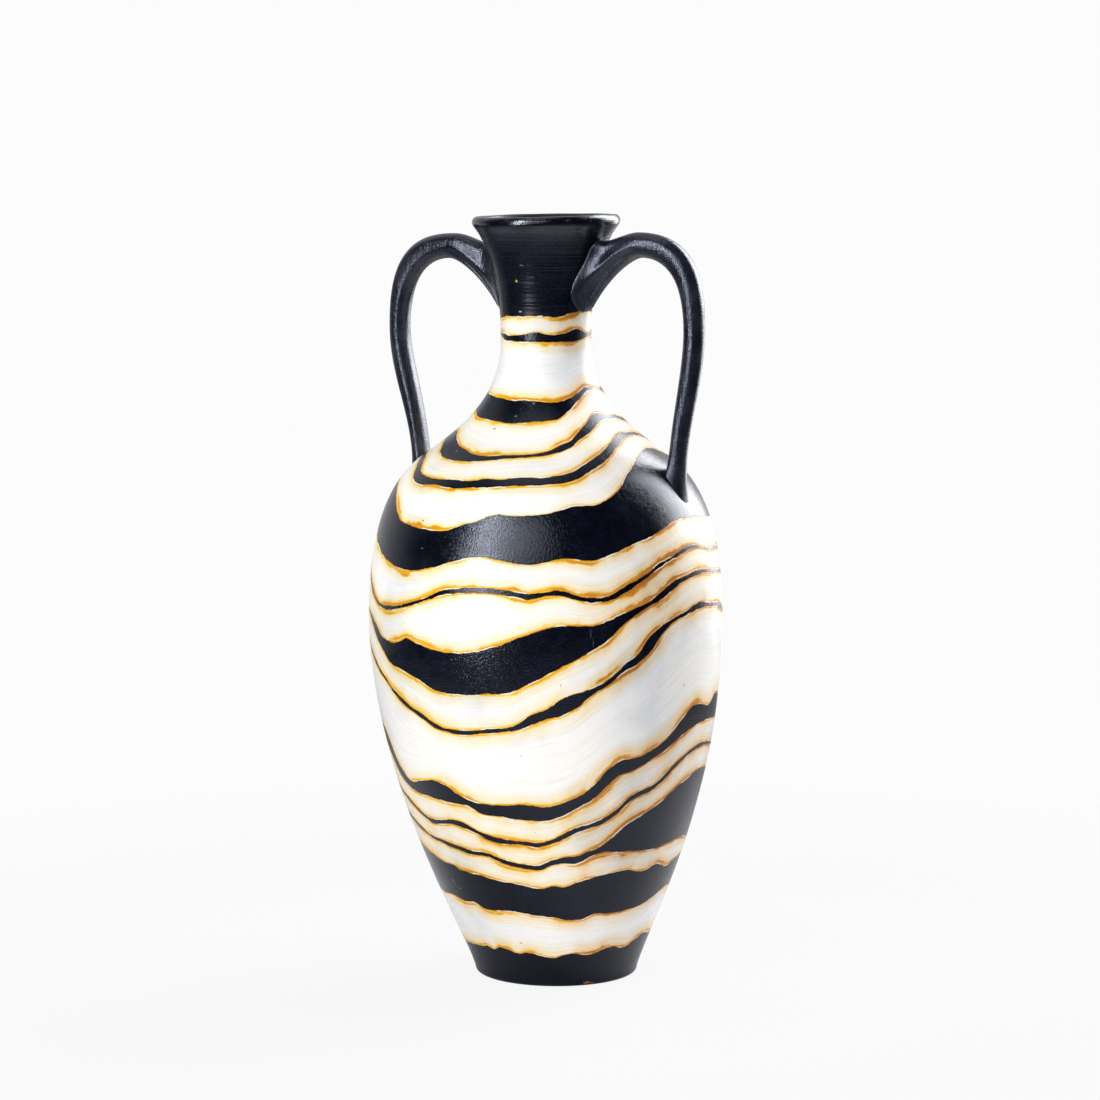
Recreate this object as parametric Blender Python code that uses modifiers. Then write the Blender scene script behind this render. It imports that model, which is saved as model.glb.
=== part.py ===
"""Two-handled ceramic vase: three thrown sections luted with slip, and two pulled strap handles."""

from math import copysign, cos, pi, radians, sin

import bmesh
import bpy
from mathutils import Vector

# Overall sizes in metres: heights from the ground, radii from the axis of the neck and shoulder
HEIGHT = 0.460
WALL = 0.0065
FLOOR = 0.009
TURN_STEPS = 48

# Outline stations from foot to mouth: radius, height, and pitch of the wall off the upright
FOOT_RADIUS = 0.0488
FOOT_PITCH = radians(12)
FOOT_ROUND = 0.003
BELLY_RADIUS = 0.1075
BELLY_HEIGHT = 0.2205
SHOULDER_RADIUS = 0.0725
SHOULDER_HEIGHT = 0.3187
SHOULDER_PITCH = radians(-52.4)
NECK_RADIUS = 0.0273
NECK_HEIGHT = 0.3845
MOUTH_RADIUS = 0.0446
MOUTH_PITCH = radians(40)

# How far each station's tangent reaches, as a share of the rise to the next station
FOOT_EASE = 0.11
BELLY_EASE_BELOW = 0.50
BELLY_EASE_ABOVE = 0.75
SHOULDER_EASE_BELOW = 0.13
SHOULDER_EASE_ABOVE = 0.20
NECK_EASE_BELOW = 0.56
NECK_EASE_ABOVE = 0.24
MOUTH_EASE = 0.36

# The lower section leans, so the foot stands off the axis of the neck
FOOT_LEAN = 0.0064
LEAN_AZIMUTH = radians(27)
LEAN_BEND = 1.1

# Lap joints between the sections, with slip in them
BELLY_JOINT = 0.205
NECK_JOINT = 0.352
LAP = 0.008
SLIP = 0.0008
SLIP_RECESS = 0.001
CLEARANCE = 0.0003
JOINT_ROOM = CLEARANCE + SLIP + CLEARANCE

# Pulled straps, in the upright plane through the axis: root on the neck, arch, side, landing on the shoulder
RIGHT_DROP = 0.0075
RIGHT_REACH = 0.1044
RIGHT_LANDING = 0.0885
LEFT_DROP = 0.0101
LEFT_REACH = 0.1065
LEFT_LANDING = 0.0870
ROOT_DROP = 0.010
ROOT_DEPTH = 0.050
ROOT_WIDTH = 0.027
ARCH_REACH = 0.062
ARCH_OFFSET = 0.003
ARCH_THICKNESS = 0.0150
ARCH_WIDTH = 0.0165
SIDE_DROP = 0.058
SIDE_THICKNESS = 0.0117
SIDE_WIDTH = 0.0145
LANDING_SINK = 0.020
LANDING_THICKNESS = 0.0140
LANDING_WIDTH = 0.0150
SLIP_SPILL = 0.0012
STRAP_SQUARENESS = 2.5
STRAP_POINTS = 16
STRAP_STEPS = 10

# Tangents of the strap's edges where each span leaves and arrives, as shares of its run and its rise
OUTER_TANGENTS = [((0.46, 0.35), (0.75, 1)), ((0.72, 0), (1, 0.28)), ((0, 0.38), (2, 0.58))]
INNER_TANGENTS = [((0.23, 0.57), (0.77, 1)), ((0.62, 0), (1, 0.38)), ((0, 0.20), (1, 0.50))]


def clear_scene():
    for old in list(bpy.data.objects):
        bpy.data.objects.remove(old, do_unlink=True)


def new_collection(name):
    collection = bpy.data.collections.new(name)
    bpy.context.scene.collection.children.link(collection)
    return collection


def new_material(name, colour, roughness):
    material = bpy.data.materials.new(name)
    material.use_nodes = True
    shader = material.node_tree.nodes["Principled BSDF"]
    shader.inputs["Base Color"].default_value = (*colour, 1)
    shader.inputs["Roughness"].default_value = roughness
    shader.inputs["Metallic"].default_value = 0
    return material


def bezier(p0, p1, p2, p3, t):
    s = 1 - t
    return p0 * s**3 + p1 * (3 * s * s * t) + p2 * (3 * s * t * t) + p3 * t**3


def bezier_slope(p0, p1, p2, p3, t):
    s = 1 - t
    return (p1 - p0) * (3 * s * s) + (p2 - p1) * (6 * s * t) + (p3 - p2) * (3 * t * t)


def direction(pitch):
    return Vector((sin(pitch), cos(pitch)))


# Outline of the pot

def outline_spans():
    """The four curves of the outside from foot to mouth, each with the number of steps it is cut into."""
    lip = WALL / 2
    foot = Vector((FOOT_RADIUS, 0))
    belly = Vector((BELLY_RADIUS, BELLY_HEIGHT))
    shoulder = Vector((SHOULDER_RADIUS, SHOULDER_HEIGHT))
    neck = Vector((NECK_RADIUS, NECK_HEIGHT))
    mouth = Vector((MOUTH_RADIUS - lip + lip * cos(MOUTH_PITCH), HEIGHT - lip - lip * sin(MOUTH_PITCH)))

    def span(low, low_pitch, low_ease, high, high_pitch, high_ease, steps):
        rise = high.y - low.y
        leave = low + direction(low_pitch) * rise * low_ease
        arrive = high - direction(high_pitch) * rise * high_ease
        return low, leave, arrive, high, steps

    return [
        span(foot, FOOT_PITCH, FOOT_EASE, belly, 0, BELLY_EASE_BELOW, 11),
        span(belly, 0, BELLY_EASE_ABOVE, shoulder, SHOULDER_PITCH, SHOULDER_EASE_BELOW, 9),
        span(shoulder, SHOULDER_PITCH, SHOULDER_EASE_ABOVE, neck, 0, NECK_EASE_BELOW, 7),
        span(neck, 0, NECK_EASE_ABOVE, mouth, MOUTH_PITCH, MOUTH_EASE, 6),
    ]


def wall_line(depth):
    """The wall's face at this depth under the outside, as (radius, height) points from foot to mouth."""
    points = []
    for *curve, steps in outline_spans():
        for step in range(1 if points else 0, steps + 1):
            slope = bezier_slope(*curve, step / steps).normalized()
            inward = Vector((-slope.y, slope.x))
            points.append(bezier(*curve, step / steps) + inward * depth)
    return points


def radius_at(line, height):
    for low, high in zip(line, line[1:]):
        if low.y <= height <= high.y:
            return low.x + (high.x - low.x) * (height - low.y) / (high.y - low.y)
    raise ValueError("the outline has no such height")


def height_at(line, radius):
    """Height at which the line above the belly has this radius."""
    for low, high in zip(line, line[1:]):
        if low.y >= BELLY_HEIGHT - WALL and low.x >= radius >= high.x:
            return low.y + (high.y - low.y) * (radius - low.x) / (high.x - low.x)
    raise ValueError("the shoulder has no such radius")


def stretch(line, low, high):
    """The part of a line between two heights, bottom to top."""
    middle = [p for p in line if low < p.y < high]
    return [Vector((radius_at(line, low), low)), *middle, Vector((radius_at(line, high), high))]


def lip_arc(points=6):
    """The half-round lip, from the outside of the mouth over to the inside."""
    *curve, _ = outline_spans()[-1]
    slope = bezier_slope(*curve, 1).normalized()
    inward = Vector((-slope.y, slope.x))
    centre = curve[3] + inward * (WALL / 2)
    turns = [pi * step / points for step in range(1, points)]
    return [centre + (slope * sin(a) - inward * cos(a)) * (WALL / 2) for a in turns]


def foot_arc(points=3):
    """The worn edge between the wall and the ground, top to bottom."""
    radius = radius_at(wall_line(0), FOOT_ROUND)
    centre = Vector((radius - FOOT_ROUND, FOOT_ROUND))
    turns = [pi / 2 * step / points for step in range(1, points + 1)]
    return [centre + Vector((cos(a), -sin(a))) * FOOT_ROUND for a in turns]


# Turned pieces

def turned(name, profile, closed, collection, material=None):
    """A profile of (radius, height) points turned about the axis."""
    mesh = bpy.data.meshes.new(name)
    edges = [(i, i + 1) for i in range(len(profile) - 1)]
    if closed:
        edges.append((len(profile) - 1, 0))
    mesh.from_pydata([(p.x, 0, p.y) for p in profile], edges, [])
    piece = bpy.data.objects.new(name, mesh)
    collection.objects.link(piece)
    screw = piece.modifiers.new("Turn", "SCREW")
    screw.steps = TURN_STEPS
    screw.render_steps = TURN_STEPS
    screw.use_merge_vertices = True
    screw.merge_threshold = 0.00001
    if material:
        mesh.materials.append(material)
    return piece


def freeze(piece):
    """Replace a piece's mesh with its evaluated mesh."""
    graph = bpy.context.evaluated_depsgraph_get()
    solid = bpy.data.meshes.new_from_object(piece.evaluated_get(graph))
    piece.modifiers.clear()
    piece.data = solid
    return piece


def smooth(piece):
    mesh = freeze(piece).data
    mesh.shade_smooth()
    mesh.set_sharp_from_angle(angle=radians(40))


def lean(piece):
    """Push the piece sideways, most at the ground and nothing at the belly joint."""
    for vertex in piece.data.vertices:
        share = max(0, 1 - vertex.co.z / BELLY_JOINT)
        offset = FOOT_LEAN * share**LEAN_BEND
        vertex.co.x += offset * cos(LEAN_AZIMUTH)
        vertex.co.y += offset * sin(LEAN_AZIMUTH)


def lap_lines():
    """Faces of the tongue and the skirt, which lie either side of the slip in the middle of the wall."""
    return wall_line(WALL / 2 + JOINT_ROOM / 2), wall_line(WALL / 2 - JOINT_ROOM / 2)


def lower_body(collection, material):
    """Thrown bowl with a flat floor; the inner half of its rim stands up as a tongue."""
    outside, inside = wall_line(0), wall_line(WALL)
    tongue, _ = lap_lines()
    profile = [Vector((0, FLOOR))]
    profile += stretch(inside, FLOOR, BELLY_JOINT + LAP)
    profile += reversed(stretch(tongue, BELLY_JOINT, BELLY_JOINT + LAP))
    profile += reversed(stretch(outside, FOOT_ROUND, BELLY_JOINT))
    profile += foot_arc()
    profile.append(Vector((0, 0)))
    piece = freeze(turned("lower_body", profile, False, collection, material))
    lean(piece)
    smooth(piece)


def shoulder(collection, material):
    """Thrown upper half: a skirt laps the tongue below, and a tongue of its own stands up for the neck."""
    outside, inside = wall_line(0), wall_line(WALL)
    tongue, skirt = lap_lines()
    profile = stretch(inside, BELLY_JOINT + LAP + JOINT_ROOM, NECK_JOINT + LAP)
    profile += reversed(stretch(tongue, NECK_JOINT, NECK_JOINT + LAP))
    profile += reversed(stretch(outside, BELLY_JOINT + JOINT_ROOM, NECK_JOINT))
    profile += stretch(skirt, BELLY_JOINT + JOINT_ROOM, BELLY_JOINT + LAP + JOINT_ROOM)
    smooth(turned("shoulder", profile, True, collection, material))


def neck(collection, material):
    """Thrown neck with a flared mouth and a half-round lip; its skirt laps the shoulder's tongue."""
    outside, inside = wall_line(0), wall_line(WALL)
    _, skirt = lap_lines()
    profile = stretch(inside, NECK_JOINT + LAP + JOINT_ROOM, inside[-1].y)
    profile += reversed(lip_arc())
    profile += reversed(stretch(outside, NECK_JOINT + JOINT_ROOM, outside[-1].y))
    profile += stretch(skirt, NECK_JOINT + JOINT_ROOM, NECK_JOINT + LAP + JOINT_ROOM)
    smooth(turned("neck", profile, True, collection, material))


def joint_slip(name, joint, collection, material):
    """Slip that fills a lap joint: a flange under the skirt, a web in the wall, a flange on the tongue."""
    low, high = joint + CLEARANCE, joint + LAP + CLEARANCE
    web_inside, web_outside = wall_line(WALL / 2 + SLIP / 2), wall_line(WALL / 2 - SLIP / 2)
    profile = stretch(web_inside, low, high)
    profile += stretch(wall_line(WALL - SLIP_RECESS), high, high + SLIP)
    profile += reversed(stretch(web_outside, low + SLIP, high + SLIP))
    profile += reversed(stretch(wall_line(SLIP_RECESS), low, low + SLIP))
    smooth(turned(name, profile, True, collection, material))


def pot_cutter(name, gap, collection):
    """The outside of the pot swollen by a gap, solid to the axis, for fitting pieces against it."""
    line = wall_line(-gap)
    profile = [Vector((0, line[-1].y)), *reversed(line), Vector((0, line[0].y))]
    cutter = freeze(turned(name, profile, False, collection))
    cutter.hide_render = True
    cutter.display_type = "WIRE"
    return cutter


# Strap handles

def strap_edge(stations, tangents):
    """Curves through the stations of one edge of the strap."""
    curves = []
    for start, end, (leave, arrive) in zip(stations, stations[1:], tangents):
        run, rise = end - start
        leave_point = start + Vector((run * leave[0], rise * leave[1]))
        arrive_point = start + Vector((run * arrive[0], rise * arrive[1]))
        curves.append((start, leave_point, arrive_point, end))
    return curves


def strap_edges(drop, reach, landing):
    """Outer and inner edge of a strap, from inside the neck down to inside the shoulder."""
    top = HEIGHT - drop
    side = top - SIDE_DROP
    root = NECK_RADIUS - WALL / 2
    sunk = height_at(wall_line(0), landing) - LANDING_SINK
    outer = [
        Vector((root, top - ROOT_DROP)),
        Vector((ARCH_REACH, top)),
        Vector((reach, side)),
        Vector((landing + LANDING_THICKNESS / 2, sunk)),
    ]
    inner = [
        Vector((root, top - ROOT_DROP - ROOT_DEPTH)),
        Vector((ARCH_REACH + ARCH_OFFSET, top - ARCH_THICKNESS)),
        Vector((reach - SIDE_THICKNESS, side)),
        Vector((landing - LANDING_THICKNESS / 2, sunk)),
    ]
    return strap_edge(outer, OUTER_TANGENTS), strap_edge(inner, INNER_TANGENTS)


def strap_ring(outer, inner, width, spill):
    """A rounded oblong between a point on each edge, grown all round by the spill."""
    power = 2 / STRAP_SQUARENESS
    centre = (outer + inner) / 2
    thick = (outer - inner) * (0.5 + spill / (outer - inner).length)
    ring = []
    for step in range(STRAP_POINTS):
        angle = 2 * pi * step / STRAP_POINTS
        point = centre + thick * copysign(abs(cos(angle)) ** power, cos(angle))
        across = (width / 2 + spill) * copysign(abs(sin(angle)) ** power, sin(angle))
        ring.append(Vector((point.x, across, point.y)))
    return ring


def strap_rings(edges, spans, spill=0.0):
    """Rings along the chosen spans of a strap: 0 is the root, 1 the arch, 2 the side and landing."""
    outer, inner = edges
    widths = [ROOT_WIDTH, ARCH_WIDTH, SIDE_WIDTH, LANDING_WIDTH]
    rings = []
    for span in spans:
        for step in range(1 if rings else 0, STRAP_STEPS + 1):
            t = step / STRAP_STEPS
            width = widths[span + 1] + (widths[span] - widths[span + 1]) * (1 - t) ** 2 * (1 + 2 * t)
            rings.append(strap_ring(bezier(*outer[span], t), bezier(*inner[span], t), width, spill))
    return rings


def loft(name, rings, collection, material):
    """A closed skin through a row of rings."""
    form = bmesh.new()
    loops = []
    for ring in rings:
        verts = [form.verts.new(point) for point in ring]
        loops.append([form.edges.new((a, b)) for a, b in zip(verts, verts[1:] + verts[:1])])
    for low, high in zip(loops, loops[1:]):
        bmesh.ops.bridge_loops(form, edges=low + high)
    for loop in (loops[0], loops[-1]):
        bmesh.ops.contextual_create(form, geom=loop)
    bmesh.ops.recalc_face_normals(form, faces=form.faces)
    mesh = bpy.data.meshes.new(name)
    form.to_mesh(mesh)
    form.free()
    mesh.materials.append(material)
    piece = bpy.data.objects.new(name, mesh)
    collection.objects.link(piece)
    return piece


def cut(piece, cutter, operation):
    boolean = piece.modifiers.new(operation.title(), "BOOLEAN")
    boolean.operation = operation
    boolean.object = cutter


def handles(collection, cutters, paint, slip_clay):
    """Two pulled straps, each luted to the neck and to the shoulder with a pad of slip."""
    to_slip = pot_cutter("pot_to_slip", CLEARANCE, cutters)
    slip_face = pot_cutter("slip_face", CLEARANCE + SLIP, cutters)
    to_strap = pot_cutter("slip_to_strap", JOINT_ROOM, cutters)
    sides = {
        "right": (0, strap_edges(RIGHT_DROP, RIGHT_REACH, RIGHT_LANDING)),
        "left": (pi, strap_edges(LEFT_DROP, LEFT_REACH, LEFT_LANDING)),
    }
    for side, (turn, edges) in sides.items():
        strap = loft(f"handle_{side}", strap_rings(edges, [0, 1, 2]), collection, paint)
        strap.rotation_euler.z = turn
        cut(strap, to_strap, "DIFFERENCE")
        smooth(strap)
        for place, span in (("upper", 0), ("lower", 2)):
            pad = loft(f"{side}_{place}_slip", strap_rings(edges, [span], SLIP_SPILL), collection, slip_clay)
            pad.rotation_euler.z = turn
            cut(pad, slip_face, "INTERSECT")
            cut(pad, to_slip, "DIFFERENCE")
            smooth(pad)


clear_scene()
vase = new_collection("two_handled_vase")
fitting_forms = new_collection("fitting_forms")
ivory_paint = new_material("ivory_paint", (0.78, 0.72, 0.60), 0.45)
black_paint = new_material("black_paint", (0.010, 0.011, 0.016), 0.35)
terracotta_slip = new_material("terracotta_slip", (0.42, 0.16, 0.08), 0.85)

lower_body(vase, ivory_paint)
shoulder(vase, ivory_paint)
neck(vase, black_paint)
joint_slip("belly_slip", BELLY_JOINT, vase, terracotta_slip)
joint_slip("neck_slip", NECK_JOINT, vase, terracotta_slip)
handles(vase, fitting_forms, black_paint, terracotta_slip)
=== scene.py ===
from math import cos, pi, radians, sin

import bpy
import numpy as np
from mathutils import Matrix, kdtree


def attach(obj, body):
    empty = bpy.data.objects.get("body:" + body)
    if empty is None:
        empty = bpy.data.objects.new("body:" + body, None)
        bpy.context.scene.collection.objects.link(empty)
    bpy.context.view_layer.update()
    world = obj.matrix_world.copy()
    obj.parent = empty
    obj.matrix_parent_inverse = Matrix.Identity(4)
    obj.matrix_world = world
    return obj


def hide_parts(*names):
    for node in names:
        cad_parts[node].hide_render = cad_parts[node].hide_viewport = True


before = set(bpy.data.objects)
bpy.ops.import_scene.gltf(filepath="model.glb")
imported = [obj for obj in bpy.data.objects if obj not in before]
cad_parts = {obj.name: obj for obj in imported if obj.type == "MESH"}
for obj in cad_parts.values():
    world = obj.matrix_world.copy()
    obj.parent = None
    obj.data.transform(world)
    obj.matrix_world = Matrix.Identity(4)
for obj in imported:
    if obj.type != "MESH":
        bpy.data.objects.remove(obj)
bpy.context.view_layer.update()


# Lower body: the bowl thrown first, in red earthenware, with a flat floor cut off the wheel by a wire.
# The inner half of its rim stands up as a tongue for the shoulder. Outside it is rubbed smooth and painted,
# inside and under the foot it is bare clay.

HEIGHT = 0.460
WALL = 0.0065
FLOOR = 0.009
FOOT_ROUND = 0.003
BELLY_JOINT = 0.205
LAP = 0.008
FOOT_LEAN = 0.0064
LEAN_AZIMUTH = radians(27)
LEAN_BEND = 1.1
MOUTH_RADIUS = 0.0446
MOUTH_PITCH = 40
FRONT = radians(-63)  # azimuth of the side that faces the viewer

# Radius, height and pitch of the wall where its curve changes, with the pull of the curve below and above
STATIONS = [
    (0.0488, 0, 12, 0, 0.11),
    (0.1075, 0.2205, 0, 0.50, 0.75),
    (0.0725, 0.3187, -52.4, 0.13, 0.20),
    (0.0273, 0.3845, 0, 0.56, 0.24),
    (
        MOUTH_RADIUS - WALL / 2 * (1 - cos(radians(MOUTH_PITCH))),
        HEIGHT - WALL / 2 * (1 + sin(radians(MOUTH_PITCH))),
        MOUTH_PITCH, 0.36, 0,
    ),
]


def bezier(p0, p1, p2, p3, t):
    s, t = 1 - t[:, None], t[:, None]
    return p0 * s**3 + 3 * p1 * s * s * t + 3 * p2 * s * t * t + p3 * t**3


def outside_line():
    """The outside of the pot as (radius, height) points from foot to mouth."""
    line = []
    for (r0, z0, a0, _, pull0), (r1, z1, a1, pull1, _) in zip(STATIONS, STATIONS[1:]):
        low, high = np.array((r0, z0)), np.array((r1, z1))
        leave = low + np.array((sin(radians(a0)), cos(radians(a0)))) * (z1 - z0) * pull0
        arrive = high - np.array((sin(radians(a1)), cos(radians(a1)))) * (z1 - z0) * pull1
        line.append(bezier(low, leave, arrive, high, np.linspace(0, 1, 400, endpoint=False)))
    return np.concatenate((*line, [high]))


OUTSIDE = outside_line()
SLOPE = np.gradient(OUTSIDE, axis=0)
SLOPE /= np.linalg.norm(SLOPE, axis=1)[:, None]
NORMAL = np.column_stack((SLOPE[:, 1], -SLOPE[:, 0]))


def wall(depth, low, high, step):
    """Points every step along the wall's face at this depth, between two heights, bottom to top."""
    face = OUTSIDE - NORMAL * depth
    ends = [(np.interp(z, face[:, 1], face[:, 0]), z) for z in (low, high)]
    face = np.concatenate((ends[:1], face[(face[:, 1] > low) & (face[:, 1] < high)], ends[1:]))
    run = np.concatenate(([0], np.cumsum(np.linalg.norm(np.diff(face, axis=0), axis=1))))
    even = np.linspace(0, run[-1], max(2, round(run[-1] / step) + 1))
    return np.column_stack([np.interp(even, run, face[:, i]) for i in (0, 1)])


def arc(centre, radius, start, end, count):
    turn = np.radians(np.linspace(start, end, count))
    return np.column_stack((centre[0] + radius * np.cos(turn), centre[1] + radius * np.sin(turn)))


# What the hand left on the true curve: two sizes of throwing ring, an oval, soft dents and a full side
RING_PITCH, RING_HEIGHT = 0.0105, 0.00006
FINE_RING_PITCH, FINE_RING_HEIGHT = 0.0043, 0.00003
OUT_OF_ROUND = 0.00025
DENT_DEPTH = 0.00010
FULL_SIDE = 0.0028
FULL_SIDE_TURN, FULL_SIDE_SPREAD = 50, 25  # degrees from the front
FULL_SIDE_HEIGHT, FULL_SIDE_RISE = 0.322, 0.016
NECK_RINGS_FROM = 0.36  # below this height they are mostly rubbed away

# The lip stands a little high and out of level
FLARE_FROM, FLARE_RISE = 0.425, 0.035
LIP_LIFT = 0.0018
LIP_TILT_ASIDE, LIP_TILT_AHEAD = 0.020, 0.012


def proud(around, z):
    """How far the hand-made wall stands off the true curve: out of round, throwing rings, one full side."""
    turn = around - FRONT
    rings = np.sin(z / RING_PITCH * 2 * pi + 1.6 * np.sin(z / 0.041 * 2 * pi) + 0.5 * np.sin(turn + 1))
    fine = np.sin(z / FINE_RING_PITCH * 2 * pi + 2.2 * np.sin(z / 0.023 * 2 * pi) + 0.4 * np.sin(2 * turn))
    slack = np.sin(2 * turn + 0.6 + 6 * z) + 0.6 * np.sin(3 * turn + 2 + 14 * z)
    dents = np.sin(5 * turn + 40 * z) * np.sin(55 * z + 1) + 0.7 * np.sin(9 * turn - 25 * z + 2)
    aside = ((np.degrees(turn) + 180) % 360 - 180 - FULL_SIDE_TURN) / FULL_SIDE_SPREAD
    full = np.exp(-aside ** 2 - ((z - FULL_SIDE_HEIGHT) / FULL_SIDE_RISE) ** 2)
    turned_lines = RING_HEIGHT * rings + FINE_RING_HEIGHT * fine
    turned_lines = turned_lines * np.clip((z - NECK_RINGS_FROM) / 0.04, 0.12, 1)
    out = turned_lines + OUT_OF_ROUND * slack + DENT_DEPTH * dents + FULL_SIDE * full
    return out * np.clip((z - 0.001) / 0.012, 0, 1)


def place(around, r, z):
    """Where a point of the turned shape ends up on the hand-made pot."""
    out = proud(around, z)
    r = r + out * np.interp(z, OUTSIDE[:, 1], NORMAL[:, 0])
    up = z + out * np.interp(z, OUTSIDE[:, 1], NORMAL[:, 1])
    tilt = np.clip((z - FLARE_FROM) / FLARE_RISE, 0, 1) ** 2
    turn = around - FRONT
    up = up + tilt * (LIP_LIFT + LIP_TILT_ASIDE * r * np.sin(turn) + LIP_TILT_AHEAD * r * np.cos(turn))
    aside = FOOT_LEAN * np.clip(1 - z / BELLY_JOINT, 0, 1) ** LEAN_BEND
    x = r * np.cos(around) + aside * cos(LEAN_AZIMUTH)
    y = r * np.sin(around) + aside * sin(LEAN_AZIMUTH)
    return np.stack(np.broadcast_arrays(x, y, up), axis=-1)


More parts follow.
